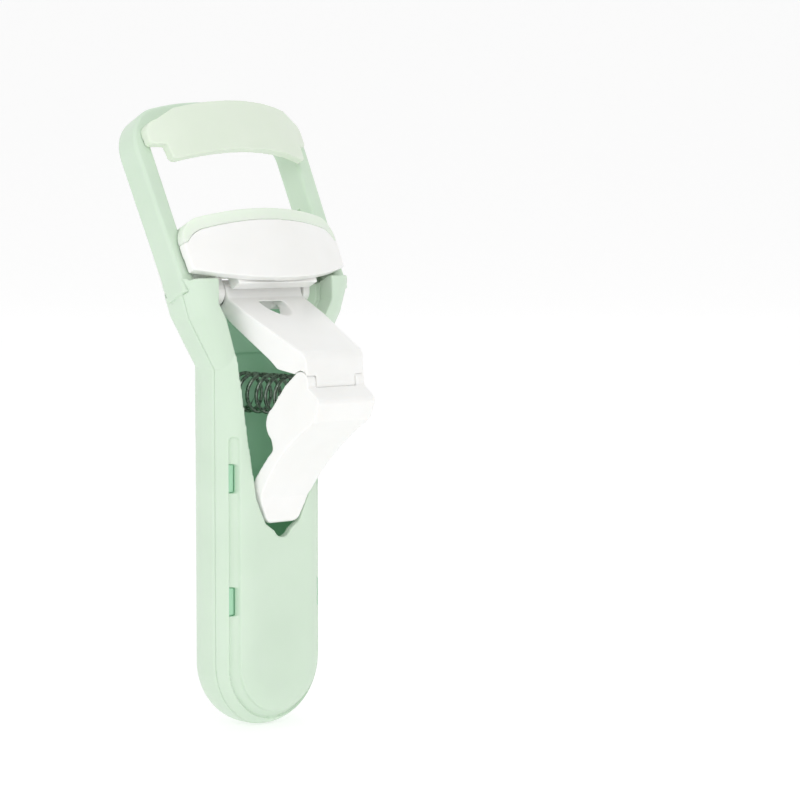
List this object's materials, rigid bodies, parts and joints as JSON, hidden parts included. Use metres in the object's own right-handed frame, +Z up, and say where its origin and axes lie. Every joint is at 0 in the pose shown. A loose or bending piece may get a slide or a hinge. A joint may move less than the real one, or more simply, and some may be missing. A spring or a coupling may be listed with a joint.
{
  "type": "eyelash curler",
  "caption": "Hand-held eyelash curler: hollow handle, leaning frame with a fixed upper jaw, and a padded lower jaw that a sprung thumb lever slides up through a toggle link.",
  "frame": {"origin": "middle of the part's outline across and front to back, at the handle's lower end", "axes": "+Z up the handle towards the jaws, -Y towards the thumb lever, +X to the right seen from the front"},
  "size_m": [0.0358, 0.0368, 0.0995],
  "materials": {
    "mint_shell": "soft gloss mint green",
    "pale_mint": "soft gloss pale cream mint",
    "white_plastic": "satin white",
    "silicone_pad": "matt translucent silicone",
    "pin_steel": "satin",
    "spring_steel": "bright wire"
  },
  "bodies": {
    "handle": {"rear_shell": "mint_shell", "front_shell": "mint_shell", "upper_jaw": "pale_mint", "lever_pin": "pin_steel", "return_spring": "spring_steel"},
    "lever": {"thumb_lever": "white_plastic", "elbow_pin": "pin_steel"},
    "link": {"toggle_link": "white_plastic"},
    "jaw": {"jaw_slider": "white_plastic", "jaw_apron": "white_plastic", "lash_pad": "silicone_pad", "yoke_pin": "pin_steel"}
  },
  "joints": [
    {"name": "lever_hinge", "type": "hinge", "parent": "handle", "child": "lever", "pos_m": [0, 0.0009, 0.0356], "axis": [-1, 0, 0], "range_deg": [0, 23.42], "stiffness_Nm_per_rad": 0.09, "springref_deg": -25.78, "deforming": ["return_spring"]},
    {"name": "link_hinge", "type": "hinge", "parent": "lever", "child": "link", "pos_m": [0, -0.0142, 0.0555], "axis": [-1, 0, 0], "range_deg": [-40.9, 0]},
    {"name": "jaw_slide", "type": "slide", "parent": "handle", "child": "jaw", "axis": [0, 0.4384, 0.8988], "range_m": [0, 0.0098]}
  ],
  "couplings": [
    {"joint": "link_hinge", "follows": "lever_hinge", "ratio": -1.7455},
    {"joint": "jaw_slide", "follows": "lever_hinge", "m_per_rad": 0.023968}
  ]
}
